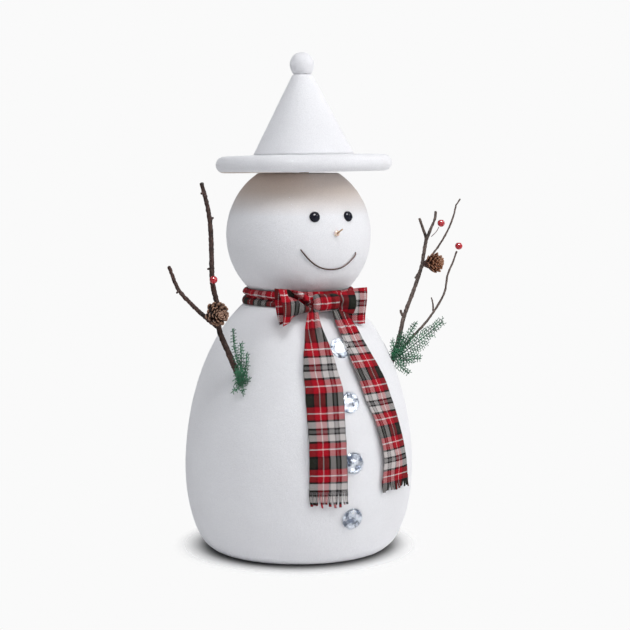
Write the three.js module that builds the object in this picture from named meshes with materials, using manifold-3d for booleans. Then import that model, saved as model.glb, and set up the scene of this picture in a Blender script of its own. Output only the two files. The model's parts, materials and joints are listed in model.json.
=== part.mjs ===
// Flocked foam snowman with a pointed hat, a tartan scarf with a bow, crystal buttons and twig arms.
// Millimetres, +Z up. The snowman faces -Y and the origin is the centre of its flat base.
// "Right" and "left" are the snowman's own sides: right is -X, left is +X.

import * as THREE from 'three';
import { ConvexGeometry } from 'three/addons/geometries/ConvexGeometry.js';
import { mergeVertices } from 'three/addons/utils/BufferGeometryUtils.js';
import Module from 'manifold-3d';

const wasm = await Module();
wasm.setup();

// ---------------------------------------------------------------- driving dimensions

const GAP = 0.3; // clearance between neighbouring pieces
const BORE_PLAY = 0.45; // radial clearance of a peg or twig in its foam hole

const BASE_RADIUS = 92;
const BELLY_RADIUS = 116.5;
const BELLY_HEIGHT = 80;
const SHOULDER_RADIUS = 100;
const SHOULDER_HEIGHT = 215;
const NECK_RADIUS = 47;
const BODY_HEIGHT = 256;

const HEAD_RADIUS = 73.3;
const HEAD_HALF_HEIGHT = 75;
const HEAD_CENTRE = 317.6;
const HEAD_TOP = 380;

const HAT_OFFSET = [4.9, -2.6]; // the hat sits a little off the head's axis
const HAT_LEAN = THREE.MathUtils.degToRad(1);
const HAT_LEAN_AXIS = new THREE.Vector3(-0.469, -0.883, 0);
const HAT_BASE = 381;
const BRIM_RADIUS = 89;
const BRIM_THICKNESS = 16.5;
const CONE_RADIUS = 51.3;
const CONE_TIP_RADIUS = 9.8;
const CONE_HEIGHT = 80.5;
const BALL_RADIUS = 12.3;
const BALL_LOWEST_ANGLE = -0.3; // radians below the ball's middle, where its foot begins

const DOWEL_RADIUS = 5;
const NECK_DOWEL_LENGTH = 80;
const HAT_DOWEL_BELOW = 48; // depth of the hat's dowel in the head
const HAT_DOWEL_ABOVE = 62; // height of the same dowel in the brim and cone
const PIN_RADIUS = 1.1;

const EYE_RADIUS = 5.6;
const EYE_DOME = 0.86; // height of the dome as a share of its radius
const EYE_POST_RADIUS = 1;
const EYE_POST_LENGTH = 8;
const EYE_HEIGHT = 337.9;
const EYE_AZIMUTH = 15.2;
const NOSE_HEIGHT = 321.2;
const NOSE_AZIMUTH = 2.2;
const NOSE_PEG_RADIUS = 0.75;
const NOSE_PEG_OUT = 12;
const NOSE_PEG_IN = 22;
const MOUTH_RIGHT_END = { azimuth: -26.1, height: 306 };
const MOUTH_LOWEST = { azimuth: 1.5, height: 286.2 };
const MOUTH_LEFT_END = { azimuth: 23.6, height: 301.7 };
const MOUTH_BEND = 2.5; // power of the curve: more is flatter in the middle
const MOUTH_WIRE_RADIUS = 0.9;

const BUTTON_PLACES = [[210.5, 0], [160.1, -0.9], [102.7, -1.2], [48.3, -1.3]]; // height and azimuth
const BUTTON_RADIUS = 11;
const BUTTON_THICKNESS = 5;

const BAND_OUTER_RADIUS = 57;
const BAND_BOTTOM = 248.5;
const BAND_TOP = 264;
const KNOT = { azimuth: -4.8, radius: 67, height: 254, width: 27, depth: 15, tall: 18 };
const BOW_LOOP = { length: 40, pinch: 8, spread: 18, thickness: 7 };

const TAIL_THICKNESS = 2;
const TAIL_STAND_OFF = 6.2; // from the body to the middle of the tail, which lies over the buttons' rims
// Each tail's middle line and width, from its top down: [height, azimuth, width].
const TAILS = {
  right: [[241, -17, 11], [216, -16.6, 22.5], [190, -15.8, 33], [161, -14, 36.5], [63, -14.3, 36.5]],
  left: [[240, 8, 18], [214, 12, 23.5], [181, 15.4, 33], [142, 21.2, 35], [70.5, 24.4, 36.5]],
};

const BERRY_RADIUS = 4;
const BERRY_WIRE_RADIUS = 0.5;

const UP = new THREE.Vector3(0, 0, 1);

// ---------------------------------------------------------------- solids and booleans

function withoutSlivers(geometry) {
  const bare = geometry.clone();
  bare.deleteAttribute('normal');
  bare.deleteAttribute('uv');
  const merged = mergeVertices(bare, 1e-4);
  const corners = merged.index.array;
  const kept = [];
  for (let i = 0; i < corners.length; i += 3) {
    const [a, b, c] = corners.slice(i, i + 3);
    if (a !== b && b !== c && c !== a) {
      kept.push(a, b, c);
    }
  }
  merged.setIndex(kept);
  return merged;
}

function toSolid(geometry) {
  const closed = withoutSlivers(geometry);
  return new wasm.Manifold(new wasm.Mesh({
    numProp: 3,
    vertProperties: new Float32Array(closed.attributes.position.array),
    triVerts: new Uint32Array(closed.index.array),
  }));
}

function toGeometry(solid) {
  const { vertProperties, triVerts } = solid.getMesh();
  const geometry = new THREE.BufferGeometry();
  geometry.setAttribute('position', new THREE.BufferAttribute(vertProperties, 3));
  geometry.setIndex(new THREE.BufferAttribute(triVerts, 1));
  geometry.computeVertexNormals();
  return geometry;
}

function cut(geometry, ...tools) {
  const left = tools.reduce((solid, tool) => solid.subtract(toSolid(tool)), toSolid(geometry));
  return toGeometry(left);
}

function join(...geometries) {
  const solids = geometries.map(toSolid);
  return toGeometry(solids.reduce((whole, solid) => whole.add(solid)));
}

// A solid of revolution about +Z. The outline is [radius, height] pairs, upwards along its outer side.
function turned(outline, segments) {
  const points = outline.map(([radius, height]) => new THREE.Vector2(radius, height));
  return new THREE.LatheGeometry(points, segments).rotateX(Math.PI / 2);
}

// A round bar along +Z from one height to another.
function bar(radius, from, to, sides) {
  const length = to - from;
  return new THREE.CylinderGeometry(radius, radius, length, sides)
    .rotateX(Math.PI / 2)
    .translate(0, 0, from + length / 2);
}

// A round bar between two points of space.
function barBetween(start, end, radius, sides) {
  const along = new THREE.Vector3().subVectors(end, start);
  const turn = new THREE.Quaternion().setFromUnitVectors(UP, along.clone().normalize());
  return bar(radius, 0, along.length(), sides)
    .applyQuaternion(turn)
    .translate(start.x, start.y, start.z);
}

// A round tube that follows a curve and tapers evenly from its first radius to its last.
function taperedTube(points, firstRadius, lastRadius, stations, sides) {
  const path = new THREE.CatmullRomCurve3(points);
  const frames = path.computeFrenetFrames(stations, false);
  const tube = new THREE.CylinderGeometry(1, 1, 1, sides, stations);
  const position = tube.attributes.position;
  for (let i = 0; i < position.count; i += 1) {
    const station = Math.round((position.getY(i) + 0.5) * stations);
    const along = station / stations;
    const radius = THREE.MathUtils.lerp(firstRadius, lastRadius, along);
    const point = path.getPointAt(along)
      .addScaledVector(frames.normals[station], position.getX(i) * radius)
      .addScaledVector(frames.binormals[station], -position.getZ(i) * radius);
    position.setXYZ(i, point.x, point.y, point.z);
  }
  return tube;
}

// ---------------------------------------------------------------- shape of the foam

const lowerFlank = new THREE.CubicBezierCurve(
  new THREE.Vector2(BASE_RADIUS, 0),
  new THREE.Vector2(BASE_RADIUS + 12, 6),
  new THREE.Vector2(BELLY_RADIUS, BELLY_HEIGHT / 2),
  new THREE.Vector2(BELLY_RADIUS, BELLY_HEIGHT),
);
const upperFlank = new THREE.CubicBezierCurve(
  new THREE.Vector2(BELLY_RADIUS, BELLY_HEIGHT),
  new THREE.Vector2(BELLY_RADIUS, 135),
  new THREE.Vector2(SHOULDER_RADIUS, SHOULDER_HEIGHT),
  new THREE.Vector2(NECK_RADIUS, BODY_HEIGHT),
);

// Radius of the body at a height, found by halving the curve's parameter.
function bodyRadius(height) {
  const flank = height < BELLY_HEIGHT ? lowerFlank : upperFlank;
  let low = 0;
  let high = 1;
  for (let step = 0; step < 30; step += 1) {
    const middle = (low + high) / 2;
    if (flank.getPoint(middle).y < height) {
      low = middle;
    } else {
      high = middle;
    }
  }
  return flank.getPoint(low).x;
}

function headRadius(height) {
  const rise = (height - HEAD_CENTRE) / HEAD_HALF_HEIGHT;
  return HEAD_RADIUS * Math.sqrt(Math.max(0, 1 - rise * rise));
}

// A point at an azimuth round the axis: 0 degrees is the front (-Y), 90 degrees is the left side (+X).
function around(azimuthDegrees, radius, height) {
  const azimuth = THREE.MathUtils.degToRad(azimuthDegrees);
  return new THREE.Vector3(radius * Math.sin(azimuth), -radius * Math.cos(azimuth), height);
}

// Outward direction of a surface of revolution, from its radius function.
function outward(azimuthDegrees, height, radiusAt) {
  const slope = radiusAt(height + 0.5) - radiusAt(height - 0.5);
  return around(azimuthDegrees, 1, -slope).normalize();
}

// ---------------------------------------------------------------- materials

function material(color, roughness, metalness = 0) {
  return new THREE.MeshStandardMaterial({ color, roughness, metalness });
}

const FLOCK = () => material('#eeedf1', 0.95);
const PALE_WOOD = () => material('#cfa980', 0.7);
const BARK = () => material('#5b4334', 0.85);
const TARTAN_RED = () => material('#b01628', 0.85);
const CONE_BROWN = () => material('#6d4c36', 0.8);
const CEDAR_GREEN = () => material('#4f6b2c', 0.75);
const BERRY_RED = () => material('#c4121c', 0.25);
const WIRE_BROWN = () => material('#33211c', 0.5, 0.3);

const snowman = new THREE.Group();

function place(name, geometry, finish, parent = snowman) {
  const mesh = new THREE.Mesh(geometry, finish);
  mesh.name = name;
  parent.add(mesh);
  return mesh;
}

// ---------------------------------------------------------------- arms: frames shared with the body's holes

// Each arm's frame has its origin where the twig enters the foam. Outwards is away from the body
// (-X on the right, +X on the left) and the points below are [outwards, up, forwards].
const ARMS = {
  right: { side: -1, entry: new THREE.Vector3(-88, -46, 179), lean: [0.41, 0.912], rootRadius: 3.1 },
  left: { side: 1, entry: new THREE.Vector3(82.6, -47.9, 188), lean: [0.3, 0.954], rootRadius: 2.4 },
};
const ROOT_DEPTH = 34;

function armPoint(arm, [out, up, forward = 0]) {
  return new THREE.Vector3(arm.side * out, -forward, up);
}

function alongRoot(arm, distance) {
  return [arm.lean[0] * distance, arm.lean[1] * distance];
}

function rootEnd(arm) {
  return alongRoot(arm, -ROOT_DEPTH);
}

// The hole for a twig, in the snowman's frame.
function twigHole(arm) {
  const start = armPoint(arm, alongRoot(arm, -ROOT_DEPTH - 1)).add(arm.entry);
  const end = armPoint(arm, alongRoot(arm, 20)).add(arm.entry);
  return barBetween(start, end, arm.rootRadius + BORE_PLAY, 16);
}

// ---------------------------------------------------------------- body and head

const neckDowelFrom = BODY_HEIGHT - NECK_DOWEL_LENGTH / 2;
const neckDowelTo = BODY_HEIGHT + NECK_DOWEL_LENGTH / 2;

function bodyFoam() {
  const outline = [[0, 0], ...lowerFlank.getPoints(5), ...upperFlank.getPoints(10).slice(1), [0, BODY_HEIGHT]]
    .map((point) => (Array.isArray(point) ? point : [point.x, point.y]));
  return cut(
    turned(outline, 32),
    bar(DOWEL_RADIUS + BORE_PLAY, neckDowelFrom - 1, BODY_HEIGHT + 5, 20),
    twigHole(ARMS.right),
    twigHole(ARMS.left),
  );
}

const headBottom = BODY_HEIGHT + GAP;

// The hat's own frame: it sits off centre and leans slightly, with its left edge the higher.
const hatFrame = new THREE.Object3D();
hatFrame.position.set(...HAT_OFFSET, HAT_BASE);
hatFrame.quaternion.setFromAxisAngle(HAT_LEAN_AXIS.clone().normalize(), HAT_LEAN);
hatFrame.updateMatrix();

function headOutline() {
  const angleAt = (height) => Math.asin((height - HEAD_CENTRE) / HEAD_HALF_HEIGHT);
  const from = angleAt(headBottom);
  const to = angleAt(HEAD_TOP);
  const steps = 11;
  const outline = [[0, headBottom]];
  for (let i = 0; i <= steps; i += 1) {
    const angle = THREE.MathUtils.lerp(from, to, i / steps);
    outline.push([HEAD_RADIUS * Math.cos(angle), HEAD_CENTRE + HEAD_HALF_HEIGHT * Math.sin(angle)]);
  }
  outline.push([0, HEAD_TOP]);
  return outline;
}

function headFoam() {
  const hatBore = bar(DOWEL_RADIUS + BORE_PLAY, -HAT_DOWEL_BELOW - 1, 10, 20).applyMatrix4(hatFrame.matrix);
  const eyeHoles = [-1, 1].map((side) => eyeShape(GAP).applyMatrix4(eyePose(side)));
  return cut(
    turned(headOutline(), 32),
    bar(DOWEL_RADIUS + BORE_PLAY, headBottom - 5, neckDowelTo + 1, 20),
    hatBore,
    ...eyeHoles,
    nosePeg(GAP),
    mouthWire(GAP),
  );
}

// ---------------------------------------------------------------- face

const EYE_SINK = 0.6; // depth of the eye's rim in the flock

// A domed bead with a short post that holds it in the foam.
function eyeShape(growth) {
  const radius = EYE_RADIUS + growth;
  const postRadius = EYE_POST_RADIUS + growth;
  const postEnd = -EYE_POST_LENGTH - growth;
  const domeHeight = EYE_RADIUS * EYE_DOME + growth;
  const outline = [[0, postEnd], [postRadius, postEnd], [postRadius, -growth], [radius, -growth]];
  const steps = 5;
  for (let i = 1; i <= steps; i += 1) {
    const angle = (i / steps) * (Math.PI / 2);
    outline.push([radius * Math.cos(angle), domeHeight * Math.sin(angle)]);
  }
  return turned(outline, 14);
}

function poseOn(azimuth, height, radiusAt, lift) {
  const normal = outward(azimuth, height, radiusAt);
  const turn = new THREE.Quaternion().setFromUnitVectors(UP, normal);
  const point = around(azimuth, radiusAt(height), height).addScaledVector(normal, lift);
  return new THREE.Matrix4().compose(point, turn, new THREE.Vector3(1, 1, 1));
}

function eyePose(side) {
  return poseOn(side * EYE_AZIMUTH, EYE_HEIGHT, headRadius, -EYE_SINK);
}

const nosePoint = around(NOSE_AZIMUTH, headRadius(NOSE_HEIGHT), NOSE_HEIGHT);
const noseDirection = new THREE.Vector3(0.05, -0.91, 0.41).normalize();

function nosePeg(growth) {
  const start = nosePoint.clone().addScaledVector(noseDirection, -NOSE_PEG_IN - growth);
  const end = nosePoint.clone().addScaledVector(noseDirection, NOSE_PEG_OUT);
  return barBetween(start, end, NOSE_PEG_RADIUS + growth, 10);
}

// A low bead of glue round the foot of the peg.
function noseGlue() {
  const bead = turned([[0, 0], [3.1, 0], [3.3, 0.8], [2.6, 2], [1.6, 2.6], [0, 2.7]], 16)
    .applyMatrix4(poseOn(NOSE_AZIMUTH, NOSE_HEIGHT + 0.6, headRadius, GAP));
  return cut(bead, nosePeg(GAP));
}

// A bent wire that lies on the face, with both ends pushed into the foam.
function mouthWire(growth) {
  const lift = MOUTH_WIRE_RADIUS + 0.1;
  const endOf = (side) => (side < 0 ? MOUTH_RIGHT_END : MOUTH_LEFT_END);
  const onFace = (share) => {
    const end = endOf(share);
    const azimuth = THREE.MathUtils.lerp(MOUTH_LOWEST.azimuth, end.azimuth, Math.abs(share));
    const height = THREE.MathUtils.lerp(MOUTH_LOWEST.height, end.height, Math.abs(share) ** MOUTH_BEND);
    return around(azimuth, headRadius(height) + lift, height);
  };
  const endInside = (side) => around(endOf(side).azimuth, HEAD_RADIUS - 12, endOf(side).height + 2);
  const steps = 8;
  const points = [endInside(-1)];
  for (let i = 0; i <= steps; i += 1) {
    points.push(onFace(-1 + (2 * i) / steps));
  }
  points.push(endInside(1));
  return taperedTube(points, MOUTH_WIRE_RADIUS + growth, MOUTH_WIRE_RADIUS + growth, 26, 5);
}

// ---------------------------------------------------------------- hat

function roundedEdge(radius, thickness, steps) {
  const half = thickness / 2;
  const outline = [];
  for (let i = 0; i <= steps; i += 1) {
    const angle = -Math.PI / 2 + (Math.PI * i) / steps;
    outline.push([radius - half + half * Math.cos(angle), half + half * Math.sin(angle)]);
  }
  return outline;
}

function hatBrim() {
  const disc = turned([[0, 0], ...roundedEdge(BRIM_RADIUS, BRIM_THICKNESS, 6), [0, BRIM_THICKNESS]], 32);
  return cut(disc, bar(DOWEL_RADIUS + BORE_PLAY, -5, BRIM_THICKNESS + 5, 20));
}

const coneFoot = BRIM_THICKNESS + GAP;
const coneTip = coneFoot + CONE_HEIGHT;
const ballFoot = coneTip + GAP;
const ballCentre = ballFoot + BALL_RADIUS * 0.8; // the ball is sunk a little into its foot

function hatCone() {
  const cone = turned([
    [0, coneFoot],
    [CONE_RADIUS, coneFoot],
    [CONE_TIP_RADIUS + 0.8, coneTip - 1.5],
    [CONE_TIP_RADIUS, coneTip],
    [0, coneTip],
  ], 32);
  return cut(
    cone,
    bar(DOWEL_RADIUS + BORE_PLAY, coneFoot - 5, HAT_DOWEL_ABOVE + 1, 20),
    bar(PIN_RADIUS + GAP, coneTip - 13, coneTip + 5, 10),
  );
}

function hatBall() {
  const outline = [[0, ballFoot], [CONE_TIP_RADIUS - 0.4, ballFoot]];
  const steps = 6;
  for (let i = 0; i <= steps; i += 1) {
    const angle = THREE.MathUtils.lerp(BALL_LOWEST_ANGLE, Math.PI / 2, i / steps);
    outline.push([BALL_RADIUS * Math.cos(angle), ballCentre + BALL_RADIUS * Math.sin(angle)]);
  }
  return cut(turned(outline, 16), bar(PIN_RADIUS + GAP, ballFoot - 5, ballFoot + 11, 10));
}

// ---------------------------------------------------------------- scarf

// The band fills the groove between body and head, and follows both with a gap.
function neckBand() {
  const clear = 0.6;
  return turned([
    [bodyRadius(BAND_BOTTOM) + clear, BAND_BOTTOM],
    [BAND_OUTER_RADIUS + 1.5, BAND_BOTTOM + 1],
    [BAND_OUTER_RADIUS, (BAND_BOTTOM + BAND_TOP) / 2],
    [BAND_OUTER_RADIUS, BAND_TOP - 3],
    [headRadius(BAND_TOP) + clear, BAND_TOP],
    [headRadius(BODY_HEIGHT + 3) + clear + 0.4, BODY_HEIGHT + 3],
    [NECK_RADIUS + clear, BODY_HEIGHT + GAP],
    [bodyRadius(BAND_BOTTOM + 4) + clear, BAND_BOTTOM + 4],
    [bodyRadius(BAND_BOTTOM) + clear, BAND_BOTTOM],
  ], 28);
}

// The bow's frame: X runs along the bow to the left, -Y points away from the neck.
const bow = new THREE.Group();
bow.position.copy(around(KNOT.azimuth, KNOT.radius, KNOT.height));
bow.rotation.z = THREE.MathUtils.degToRad(KNOT.azimuth);
snowman.add(bow);

function knotShape() {
  return new THREE.SphereGeometry(0.5, 12, 8).scale(KNOT.width, KNOT.depth, KNOT.tall);
}

// A loop is a flat pillow that widens from the pinch at the knot to its outer fold.
function bowLoop(side) {
  const loop = new THREE.SphereGeometry(1, 12, 10);
  const position = loop.attributes.position;
  const start = KNOT.width / 2 + 0.8;
  for (let i = 0; i < position.count; i += 1) {
    const out = (1 + side * position.getX(i)) / 2;
    const half = THREE.MathUtils.lerp(BOW_LOOP.pinch, BOW_LOOP.spread, out);
    const backward = 5 * out * out;
    position.setX(i, side * (start + out * BOW_LOOP.length));
    position.setY(i, position.getY(i) * BOW_LOOP.thickness + backward);
    position.setZ(i, position.getZ(i) * half);
  }
  return loop;
}

// Azimuth and width of a tail at a height, between its listed stations.
function tailAt(stations, height) {
  const below = Math.max(1, stations.findIndex(([station]) => station <= height));
  const [upper, lower] = [stations[below - 1], stations[below]];
  const share = (upper[0] - height) / (upper[0] - lower[0]);
  return [1, 2].map((column) => THREE.MathUtils.lerp(upper[column], lower[column], share));
}

// A tail is a flat strip that hangs down the body, wrapped onto its curved front.
function scarfTail(stations) {
  const top = stations[0][0];
  const bottom = stations.at(-1)[0];
  const strip = new THREE.BoxGeometry(1, TAIL_THICKNESS, top - bottom, 4, 1, 14);
  const position = strip.attributes.position;
  for (let i = 0; i < position.count; i += 1) {
    const height = position.getZ(i) + (top + bottom) / 2;
    const [azimuth, width] = tailAt(stations, height);
    const radius = bodyRadius(height) + TAIL_STAND_OFF;
    const bearing = azimuth + THREE.MathUtils.radToDeg((position.getX(i) * width) / radius);
    const normal = outward(bearing, height, bodyRadius);
    const point = around(bearing, bodyRadius(height), height)
      .addScaledVector(normal, TAIL_STAND_OFF - position.getY(i));
    position.setXYZ(i, point.x, point.y, point.z);
  }
  return strip;
}

// ---------------------------------------------------------------- buttons

// A cut crystal: sixteen-sided rim, eight-sided table and flat back.
function crystal() {
  const ring = (count, radius, height, turn) => Array.from({ length: count }, (_, i) => {
    const angle = ((i + turn) / count) * 2 * Math.PI;
    return new THREE.Vector3(radius * Math.cos(angle), radius * Math.sin(angle), height);
  });
  return new ConvexGeometry([
    ...ring(16, BUTTON_RADIUS * 0.97, 0, 0),
    ...ring(16, BUTTON_RADIUS, 1.2, 0),
    ...ring(8, BUTTON_RADIUS * 0.8, BUTTON_THICKNESS * 0.72, 0.5),
    ...ring(8, BUTTON_RADIUS * 0.55, BUTTON_THICKNESS, 0),
  ]);
}

// ---------------------------------------------------------------- twigs, cones, berries and cedar

function branch(arm, points, firstRadius, lastRadius, stations) {
  return taperedTube(points.map((point) => armPoint(arm, point)), firstRadius, lastRadius, stations, 6);
}

function rightTwig() {
  const arm = ARMS.right;
  const stem = [
    rootEnd(arm), [0, 0], [12, 27], [23.5, 54.3], [25, 79.5], [29, 92.4], [30, 113], [30.3, 131],
    [31.4, 154], [34.8, 173], [40.2, 192],
  ];
  const fork = [[23.5, 54.3], [38.2, 65.3, 1], [54.1, 79.7, 2], [65.1, 92.7], [74.1, 114.4]];
  return join(
    branch(arm, stem, arm.rootRadius, 2, 24),
    branch(arm, fork, 2.2, 1.6, 10),
    branch(arm, [[64.5, 91.5, 1], [68, 89, 3]], 1.3, 0.9, 2),
    branch(arm, [[37.3, 183], [41.4, 182, 2]], 1.2, 0.8, 2),
    branch(arm, [[31.8, 157], [28.4, 159.5, 1]], 1.2, 0.8, 2),
    branch(arm, [[30, 111], [33.8, 110.5, -2]], 1.2, 0.8, 2),
  );
}

function leftTwig() {
  const arm = ARMS.left;
  const stem = [
    rootEnd(arm), [0, 0], [9.6, 28], [13.7, 44.5], [25.2, 71.2], [35.2, 96.5], [37.8, 110.8], [41, 126],
  ];
  return join(
    branch(arm, stem, arm.rootRadius, 1.8, 18),
    branch(arm, [[41, 124], [36.5, 135], [32, 145.6]], 1.7, 1.2, 5),
    branch(arm, [[41, 124], [46.7, 136.2], [51, 145], [51.7, 152.4]], 1.7, 1.2, 6),
    branch(arm, [[13.7, 46], [10.3, 49.5, 1], [9.6, 52.5, 1]], 1.7, 1.1, 3),
  );
}

// The tall thin twig rises behind the left cone.
function leftTallTwig() {
  const stem = [
    [30.3, 84, -4.5], [44, 99, -7], [57.6, 112.8, -7], [69.6, 131.2, -5], [77, 148.4, -4],
    [79.6, 158.4, -4], [84.8, 164.7, -4],
  ];
  return branch(ARMS.left, stem, 1.2, 0.8, 12);
}

// The low thin twig starts beside the main twig's foot, forks once and carries a berry.
function leftLowTwig() {
  const arm = ARMS.left;
  const stem = [
    [7.5, 11, 4], [23.1, 25.6, 4], [38.8, 39.2, 4], [55.7, 58.6, 3], [62.5, 70, 2.5], [65.8, 87, 2],
    [72.5, 98.4, 1], [78.2, 110.6],
  ];
  return join(
    branch(arm, stem, 1.4, 0.9, 18),
    branch(arm, [[47.5, 50, 3.4], [46.8, 57, 4], [44.7, 64, 4]], 1, 0.6, 4),
  );
}

// A cone opens along +Z: a core with whorls of flat scales that lean outwards.
function pineCone(radius, length) {
  const core = turned([
    [0, 0],
    [radius * 0.4, length * 0.1],
    [radius * 0.6, length * 0.4],
    [radius * 0.3, length * 0.85],
    [0, length],
  ], 8);
  const scalesPerWhorl = 6;
  const whorls = [
    { height: 0.14, reach: 0.9, lean: 0.1 },
    { height: 0.34, reach: 1, lean: 0.45 },
    { height: 0.52, reach: 0.75, lean: 0.85 },
  ];
  const scales = whorls.flatMap(({ height, reach, lean }, row) => (
    Array.from({ length: scalesPerWhorl }, (_, i) => (
      new THREE.CylinderGeometry(radius * 0.32, radius * 0.1, radius * reach, 4)
        .scale(1, 1, 0.35)
        .translate(0, (radius * reach) / 2, 0)
        .rotateX(lean)
        .rotateZ(((i + row / 2) / scalesPerWhorl) * 2 * Math.PI)
        .translate(0, 0, length * height)
    ))
  ));
  return join(core, ...scales);
}

// A flat spray of cedar in the XZ plane: a stem that rises from +X by an angle, with leaflets on both sides.
function cedarSpray(length, halfWidth, leaflets, riseDegrees) {
  const stem = new THREE.CylinderGeometry(0.6, 1.3, length, 5).translate(0, length / 2, 0);
  const leaves = Array.from({ length: leaflets }, (_, i) => {
    const share = (i + 0.5) / leaflets;
    const side = i % 2 === 0 ? 1 : -1;
    const size = halfWidth * (0.7 + 1.8 * share * (1 - share));
    return new THREE.ConeGeometry(size * 0.19, size, 3)
      .scale(1, 1, 0.5)
      .translate(0, size / 2, 0)
      .rotateZ(side * THREE.MathUtils.degToRad(48))
      .translate(0, length * (0.15 + 0.8 * share), 0);
  });
  return join(stem, ...leaves)
    .rotateX(Math.PI / 2)
    .rotateY(THREE.MathUtils.degToRad(90 - riseDegrees));
}

function cedarSprig(sprays) {
  return join(...sprays.map((spray) => cedarSpray(...spray)));
}

// ---------------------------------------------------------------- assembly

place('body_foam', bodyFoam(), FLOCK());
place('head_foam', headFoam(), FLOCK());
place('neck_dowel', bar(DOWEL_RADIUS, neckDowelFrom, neckDowelTo, 16), PALE_WOOD());

for (const [name, side] of [['right', -1], ['left', 1]]) {
  place(`eye_${name}`, eyeShape(0), material('#0b0b10', 0.08)).applyMatrix4(eyePose(side));
}
place('nose_peg', nosePeg(0), PALE_WOOD());
place('nose_glue', noseGlue(), material('#e3b88f', 0.3));
place('mouth_wire', mouthWire(0), WIRE_BROWN());

const hat = new THREE.Group();
hat.position.copy(hatFrame.position);
hat.quaternion.copy(hatFrame.quaternion);
snowman.add(hat);
place('hat_dowel', bar(DOWEL_RADIUS, -HAT_DOWEL_BELOW, HAT_DOWEL_ABOVE, 16), PALE_WOOD(), hat);
place('hat_brim', hatBrim(), FLOCK(), hat);
place('hat_cone', hatCone(), FLOCK(), hat);
place('hat_ball', hatBall(), FLOCK(), hat);
place('hat_ball_pin', bar(PIN_RADIUS, coneTip - 12, ballFoot + 10, 8), PALE_WOOD(), hat);

place('scarf_neck_band', neckBand(), TARTAN_RED());
place('bow_knot', knotShape(), TARTAN_RED(), bow);
place('bow_loop_left', bowLoop(1), TARTAN_RED(), bow);
place('bow_loop_right', bowLoop(-1), TARTAN_RED(), bow);
place('scarf_tail_right', scarfTail(TAILS.right), TARTAN_RED());
place('scarf_tail_left', scarfTail(TAILS.left), TARTAN_RED());

BUTTON_PLACES.forEach(([height, azimuth], i) => {
  const button = place(`button_${i + 1}`, crystal(), material('#c9d2dc', 0.05));
  button.applyMatrix4(poseOn(azimuth, height, bodyRadius, 0.5));
});

const armGroups = Object.fromEntries(Object.entries(ARMS).map(([name, arm]) => {
  const group = new THREE.Group();
  group.position.copy(arm.entry);
  snowman.add(group);
  return [name, group];
}));

place('twig_right', rightTwig(), BARK(), armGroups.right);
place('twig_left', leftTwig(), BARK(), armGroups.left);
place('twig_left_tall', leftTallTwig(), BARK(), armGroups.left);
place('twig_left_low', leftLowTwig(), BARK(), armGroups.left);

const rightCone = place('pinecone_right', pineCone(11.7, 20), CONE_BROWN(), armGroups.right);
rightCone.position.copy(armPoint(ARMS.right, [31.3, 68.9, 5]));
rightCone.rotation.x = Math.PI / 2;
const leftCone = place('pinecone_left', pineCone(12, 22), CONE_BROWN(), armGroups.left);
leftCone.position.copy(armPoint(ARMS.left, [36.4, 99.3, 5.1]));
leftCone.quaternion.setFromUnitVectors(UP, new THREE.Vector3(0.4, -0.9, 0.15).normalize());

const berries = [
  ['berry_right', 'right', [31.6, 100.7, 7.3]],
  ['berry_left_upper', 'left', [58.6, 140.2, 0]],
  ['berry_left_low', 'left', [80.8, 116, 0]],
];
for (const [name, side, at] of berries) {
  const berry = place(name, new THREE.SphereGeometry(BERRY_RADIUS, 10, 8), BERRY_RED(), armGroups[side]);
  berry.position.copy(armPoint(ARMS[side], at));
}

const wirePoints = [[45.8, 126.5, 1], [50.3, 130.6, 2], [53.6, 133.6, 1], [55.8, 136.3]];
place('berry_left_wire', taperedTube(
  wirePoints.map((point) => armPoint(ARMS.left, point)), BERRY_WIRE_RADIUS, BERRY_WIRE_RADIUS, 6, 5,
), WIRE_BROWN(), armGroups.left);

// Each spray is [length, half-width, leaflets, rise in degrees].
const rightSprig = place('cedar_sprig_right', cedarSprig([
  [54, 16, 7, 84], [38, 13, 5, 48], [24, 9, 4, 10],
]), CEDAR_GREEN(), armGroups.right);
rightSprig.position.copy(armPoint(ARMS.right, [4.5, 6, 5.5]));
rightSprig.rotation.z = THREE.MathUtils.degToRad(-118);

const leftSprig = place('cedar_sprig_left', cedarSprig([
  [68, 22, 9, 30], [32, 13, 4, -16], [44, 14, 5, 62],
]), CEDAR_GREEN(), armGroups.left);
leftSprig.position.copy(armPoint(ARMS.left, [6, 5, 6.5]));
leftSprig.rotation.z = THREE.MathUtils.degToRad(-28);

export default snowman;
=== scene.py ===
"""Looks of the flocked foam snowman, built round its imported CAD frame.

All shapes are worked out in millimetres in the frame's own axes (+Z up, the snowman faces -Y) and
turned into metres when a mesh is made. Right and left are the snowman's own sides.
"""

import json
import random
from math import atan2, cos, degrees, exp, pi, radians, sin, sqrt

import bpy
from mathutils import Matrix, Vector, noise


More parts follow.
